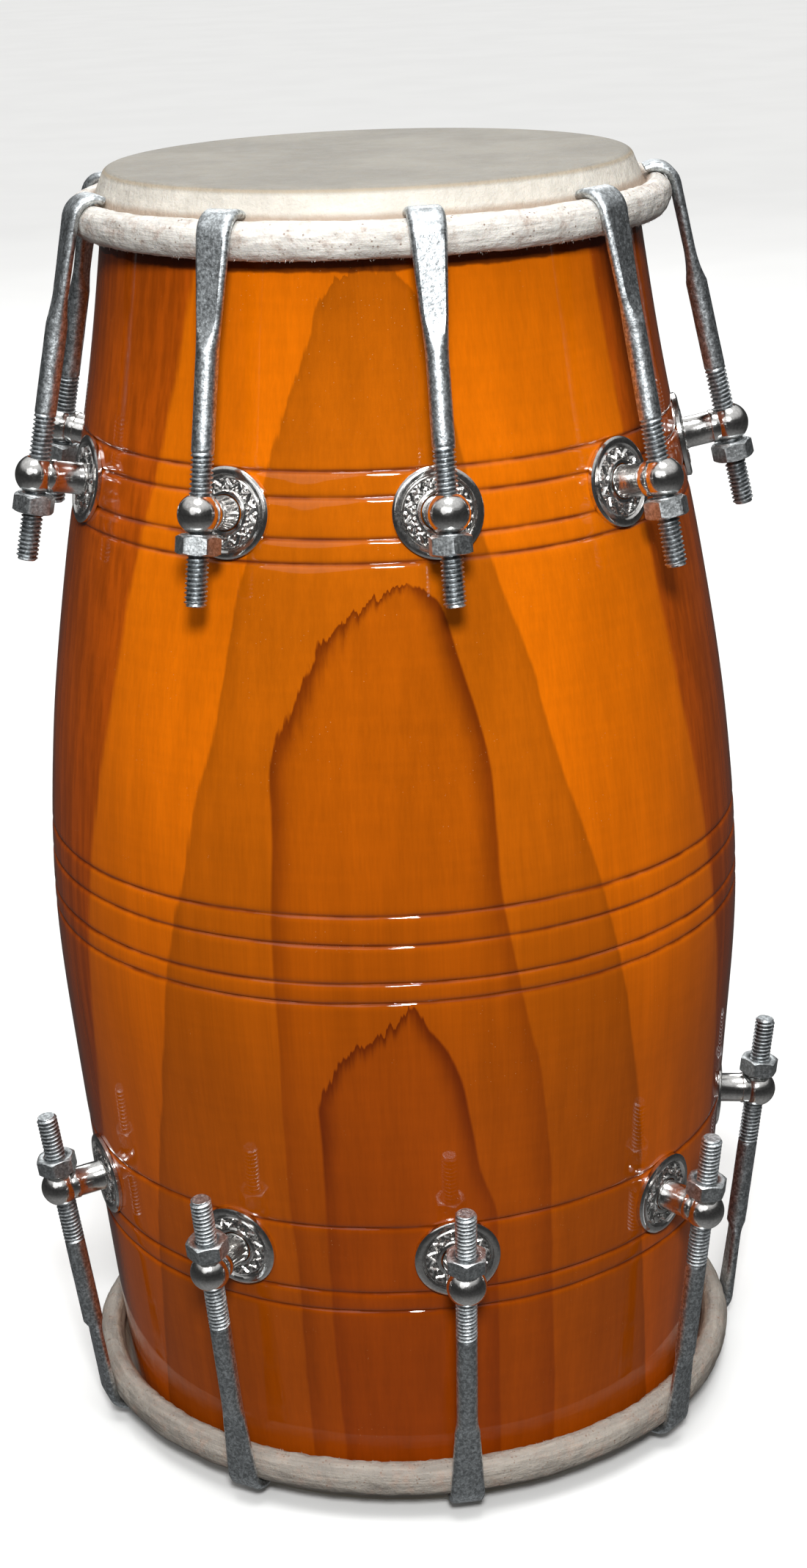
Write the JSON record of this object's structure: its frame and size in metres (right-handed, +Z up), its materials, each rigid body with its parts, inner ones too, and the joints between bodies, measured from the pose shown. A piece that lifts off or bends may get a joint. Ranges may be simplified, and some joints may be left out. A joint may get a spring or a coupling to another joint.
{
  "type": "dholak drum",
  "caption": "Two-headed wooden barrel drum with rawhide heads rolled on steel hoops, drawn tight by hooked threaded rods and nuts on ball-ended posts.",
  "frame": {"origin": "centre of the bass head's outer face, which the drum stands on", "axes": "+Z up the drum's axis to the treble head, -Y towards the first hook of each end"},
  "size_m": [0.2443, 0.2402, 0.393],
  "materials": {
    "lacquered_wood": "gloss",
    "rawhide": "matte",
    "hook_steel": "satin",
    "zinc_plate": "satin",
    "nickel_plate": "polished",
    "hoop_steel": "satin",
    "tuning_paste": "matte"
  },
  "bodies": {
    "drum": {"shell": "lacquered_wood", "treble_skin": "rawhide", "bass_skin": "rawhide", "treble_hoop": "hoop_steel", "bass_hoop": "hoop_steel", "bass_paste": "tuning_paste", "treble_posts": "nickel_plate", "bass_posts": "nickel_plate", "treble_rosettes": "nickel_plate", "bass_rosettes": "nickel_plate", "treble_washers": "zinc_plate", "bass_washers": "zinc_plate", "treble_inner_nuts": "zinc_plate", "bass_inner_nuts": "zinc_plate"},
    "treble_hook_1": {"treble_hook_1": "hook_steel"},
    "treble_nut_1": {"treble_nut_1": "zinc_plate"},
    "treble_hook_2": {"treble_hook_2": "hook_steel"},
    "treble_nut_2": {"treble_nut_2": "zinc_plate"},
    "treble_hook_3": {"treble_hook_3": "hook_steel"},
    "treble_nut_3": {"treble_nut_3": "zinc_plate"},
    "treble_hook_4": {"treble_hook_4": "hook_steel"},
    "treble_nut_4": {"treble_nut_4": "zinc_plate"},
    "treble_hook_5": {"treble_hook_5": "hook_steel"},
    "treble_nut_5": {"treble_nut_5": "zinc_plate"},
    "treble_hook_6": {"treble_hook_6": "hook_steel"},
    "treble_nut_6": {"treble_nut_6": "zinc_plate"},
    "treble_hook_7": {"treble_hook_7": "hook_steel"},
    "treble_nut_7": {"treble_nut_7": "zinc_plate"},
    "treble_hook_8": {"treble_hook_8": "hook_steel"},
    "treble_nut_8": {"treble_nut_8": "zinc_plate"},
    "treble_hook_9": {"treble_hook_9": "hook_steel"},
    "treble_nut_9": {"treble_nut_9": "zinc_plate"},
    "bass_hook_1": {"bass_hook_1": "hook_steel"},
    "bass_nut_1": {"bass_nut_1": "zinc_plate"},
    "bass_hook_2": {"bass_hook_2": "hook_steel"},
    "bass_nut_2": {"bass_nut_2": "zinc_plate"},
    "bass_hook_3": {"bass_hook_3": "hook_steel"},
    "bass_nut_3": {"bass_nut_3": "zinc_plate"},
    "bass_hook_4": {"bass_hook_4": "hook_steel"},
    "bass_nut_4": {"bass_nut_4": "zinc_plate"},
    "bass_hook_5": {"bass_hook_5": "hook_steel"},
    "bass_nut_5": {"bass_nut_5": "zinc_plate"},
    "bass_hook_6": {"bass_hook_6": "hook_steel"},
    "bass_nut_6": {"bass_nut_6": "zinc_plate"},
    "bass_hook_7": {"bass_hook_7": "hook_steel"},
    "bass_nut_7": {"bass_nut_7": "zinc_plate"},
    "bass_hook_8": {"bass_hook_8": "hook_steel"},
    "bass_nut_8": {"bass_nut_8": "zinc_plate"},
    "bass_hook_9": {"bass_hook_9": "hook_steel"},
    "bass_nut_9": {"bass_nut_9": "zinc_plate"}
  },
  "joints": [
    {"name": "treble_hook_1_slide", "type": "slide", "parent": "drum", "child": "treble_hook_1", "axis": [0, 0.2082, 0.9781], "range_m": [0, 0.0127]},
    {"name": "treble_nut_1_turn", "type": "hinge", "parent": "drum", "child": "treble_nut_1", "pos_m": [0, -0.10652, 0.30219], "axis": [0, -0.2082, -0.9781], "range_deg": [0, 3600]},
    {"name": "treble_hook_2_slide", "type": "slide", "parent": "drum", "child": "treble_hook_2", "axis": [-0.1282, 0.1641, 0.9781], "range_m": [0, 0.0127]},
    {"name": "treble_nut_2_turn", "type": "hinge", "parent": "drum", "child": "treble_nut_2", "pos_m": [0.06558, -0.08394, 0.30219], "axis": [0.1282, -0.1641, -0.9781], "range_deg": [0, 3600]},
    {"name": "treble_hook_3_slide", "type": "slide", "parent": "drum", "child": "treble_hook_3", "axis": [-0.205, 0.0362, 0.9781], "range_m": [0, 0.0127]},
    {"name": "treble_nut_3_turn", "type": "hinge", "parent": "drum", "child": "treble_nut_3", "pos_m": [0.1049, -0.0185, 0.30219], "axis": [0.205, -0.0362, -0.9781], "range_deg": [0, 3600]},
    {"name": "treble_hook_4_slide", "type": "slide", "parent": "drum", "child": "treble_hook_4", "axis": [-0.1803, -0.1041, 0.9781], "range_m": [0, 0.0127]},
    {"name": "treble_nut_4_turn", "type": "hinge", "parent": "drum", "child": "treble_nut_4", "pos_m": [0.09225, 0.05326, 0.30219], "axis": [0.1803, 0.1041, -0.9781], "range_deg": [0, 3600]},
    {"name": "treble_hook_5_slide", "type": "slide", "parent": "drum", "child": "treble_hook_5", "axis": [-0.0712, -0.1956, 0.9781], "range_m": [0, 0.0127]},
    {"name": "treble_nut_5_turn", "type": "hinge", "parent": "drum", "child": "treble_nut_5", "pos_m": [0.03643, 0.1001, 0.30219], "axis": [0.0712, 0.1956, -0.9781], "range_deg": [0, 3600]},
    {"name": "treble_hook_6_slide", "type": "slide", "parent": "drum", "child": "treble_hook_6", "axis": [0.0712, -0.1956, 0.9781], "range_m": [0, 0.0127]},
    {"name": "treble_nut_6_turn", "type": "hinge", "parent": "drum", "child": "treble_nut_6", "pos_m": [-0.03643, 0.1001, 0.30219], "axis": [-0.0712, 0.1956, -0.9781], "range_deg": [0, 3600]},
    {"name": "treble_hook_7_slide", "type": "slide", "parent": "drum", "child": "treble_hook_7", "axis": [0.1803, -0.1041, 0.9781], "range_m": [0, 0.0127]},
    {"name": "treble_nut_7_turn", "type": "hinge", "parent": "drum", "child": "treble_nut_7", "pos_m": [-0.09225, 0.05326, 0.30219], "axis": [-0.1803, 0.1041, -0.9781], "range_deg": [0, 3600]},
    {"name": "treble_hook_8_slide", "type": "slide", "parent": "drum", "child": "treble_hook_8", "axis": [0.205, 0.0362, 0.9781], "range_m": [0, 0.0127]},
    {"name": "treble_nut_8_turn", "type": "hinge", "parent": "drum", "child": "treble_nut_8", "pos_m": [-0.1049, -0.0185, 0.30219], "axis": [-0.205, -0.0362, -0.9781], "range_deg": [0, 3600]},
    {"name": "treble_hook_9_slide", "type": "slide", "parent": "drum", "child": "treble_hook_9", "axis": [0.1267, 0.1652, 0.9781], "range_m": [0, 0.0127]},
    {"name": "treble_nut_9_turn", "type": "hinge", "parent": "drum", "child": "treble_nut_9", "pos_m": [-0.06485, -0.08451, 0.30219], "axis": [-0.1267, -0.1652, -0.9781], "range_deg": [0, 3600]},
    {"name": "bass_hook_1_slide", "type": "slide", "parent": "drum", "child": "bass_hook_1", "axis": [0.0045, 0.1292, -0.9916], "range_m": [0, 0.0127]},
    {"name": "bass_nut_1_turn", "type": "hinge", "parent": "drum", "child": "bass_nut_1", "pos_m": [-0.00409, -0.11717, 0.09414], "axis": [-0.0045, -0.1292, 0.9916], "range_deg": [0, 3600]},
    {"name": "bass_hook_2_slide", "type": "slide", "parent": "drum", "child": "bass_hook_2", "axis": [-0.0831, 0.099, -0.9916], "range_m": [0, 0.0127]},
    {"name": "bass_nut_2_turn", "type": "hinge", "parent": "drum", "child": "bass_nut_2", "pos_m": [0.07536, -0.08981, 0.09414], "axis": [0.0831, -0.099, 0.9916], "range_deg": [0, 3600]},
    {"name": "bass_hook_3_slide", "type": "slide", "parent": "drum", "child": "bass_hook_3", "axis": [-0.1286, 0.0135, -0.9916], "range_m": [0, 0.0127]},
    {"name": "bass_nut_3_turn", "type": "hinge", "parent": "drum", "child": "bass_nut_3", "pos_m": [0.1166, -0.01226, 0.09414], "axis": [0.1286, -0.0135, 0.9916], "range_deg": [0, 3600]},
    {"name": "bass_hook_4_slide", "type": "slide", "parent": "drum", "child": "bass_hook_4", "axis": [-0.112, -0.0646, -0.9916], "range_m": [0, 0.0127]},
    {"name": "bass_nut_4_turn", "type": "hinge", "parent": "drum", "child": "bass_nut_4", "pos_m": [0.10154, 0.05862, 0.09414], "axis": [0.112, 0.0646, 0.9916], "range_deg": [0, 3600]},
    {"name": "bass_hook_5_slide", "type": "slide", "parent": "drum", "child": "bass_hook_5", "axis": [-0.0442, -0.1215, -0.9916], "range_m": [0, 0.0127]},
    {"name": "bass_nut_5_turn", "type": "hinge", "parent": "drum", "child": "bass_nut_5", "pos_m": [0.0401, 0.11017, 0.09414], "axis": [0.0442, 0.1215, 0.9916], "range_deg": [0, 3600]},
    {"name": "bass_hook_6_slide", "type": "slide", "parent": "drum", "child": "bass_hook_6", "axis": [0.0442, -0.1215, -0.9916], "range_m": [0, 0.0127]},
    {"name": "bass_nut_6_turn", "type": "hinge", "parent": "drum", "child": "bass_nut_6", "pos_m": [-0.0401, 0.11017, 0.09414], "axis": [-0.0442, 0.1215, 0.9916], "range_deg": [0, 3600]},
    {"name": "bass_hook_7_slide", "type": "slide", "parent": "drum", "child": "bass_hook_7", "axis": [0.1019, -0.0796, -0.9916], "range_m": [0, 0.0127]},
    {"name": "bass_nut_7_turn", "type": "hinge", "parent": "drum", "child": "bass_nut_7", "pos_m": [-0.09239, 0.07218, 0.09414], "axis": [-0.1019, 0.0796, 0.9916], "range_deg": [0, 3600]},
    {"name": "bass_hook_8_slide", "type": "slide", "parent": "drum", "child": "bass_hook_8", "axis": [0.1265, 0.0269, -0.9916], "range_m": [0, 0.0127]},
    {"name": "bass_nut_8_turn", "type": "hinge", "parent": "drum", "child": "bass_nut_8", "pos_m": [-0.11468, -0.02438, 0.09414], "axis": [-0.1265, -0.0269, 0.9916], "range_deg": [0, 3600]},
    {"name": "bass_hook_9_slide", "type": "slide", "parent": "drum", "child": "bass_hook_9", "axis": [0.0831, 0.099, -0.9916], "range_m": [0, 0.0127]},
    {"name": "bass_nut_9_turn", "type": "hinge", "parent": "drum", "child": "bass_nut_9", "pos_m": [-0.07536, -0.08981, 0.09414], "axis": [-0.0831, -0.099, 0.9916], "range_deg": [0, 3600]}
  ],
  "couplings": [
    {"joint": "treble_nut_1_turn", "follows": "treble_hook_1_slide", "rad_per_m": 4947.4},
    {"joint": "treble_nut_2_turn", "follows": "treble_hook_2_slide", "rad_per_m": 4947.4},
    {"joint": "treble_nut_3_turn", "follows": "treble_hook_3_slide", "rad_per_m": 4947.4},
    {"joint": "treble_nut_4_turn", "follows": "treble_hook_4_slide", "rad_per_m": 4947.4},
    {"joint": "treble_nut_5_turn", "follows": "treble_hook_5_slide", "rad_per_m": 4947.4},
    {"joint": "treble_nut_6_turn", "follows": "treble_hook_6_slide", "rad_per_m": 4947.4},
    {"joint": "treble_nut_7_turn", "follows": "treble_hook_7_slide", "rad_per_m": 4947.4},
    {"joint": "treble_nut_8_turn", "follows": "treble_hook_8_slide", "rad_per_m": 4947.4},
    {"joint": "treble_nut_9_turn", "follows": "treble_hook_9_slide", "rad_per_m": 4947.4},
    {"joint": "bass_nut_1_turn", "follows": "bass_hook_1_slide", "rad_per_m": 4947.4},
    {"joint": "bass_nut_2_turn", "follows": "bass_hook_2_slide", "rad_per_m": 4947.4},
    {"joint": "bass_nut_3_turn", "follows": "bass_hook_3_slide", "rad_per_m": 4947.4},
    {"joint": "bass_nut_4_turn", "follows": "bass_hook_4_slide", "rad_per_m": 4947.4},
    {"joint": "bass_nut_5_turn", "follows": "bass_hook_5_slide", "rad_per_m": 4947.4},
    {"joint": "bass_nut_6_turn", "follows": "bass_hook_6_slide", "rad_per_m": 4947.4},
    {"joint": "bass_nut_7_turn", "follows": "bass_hook_7_slide", "rad_per_m": 4947.4},
    {"joint": "bass_nut_8_turn", "follows": "bass_hook_8_slide", "rad_per_m": 4947.4},
    {"joint": "bass_nut_9_turn", "follows": "bass_hook_9_slide", "rad_per_m": 4947.4}
  ]
}
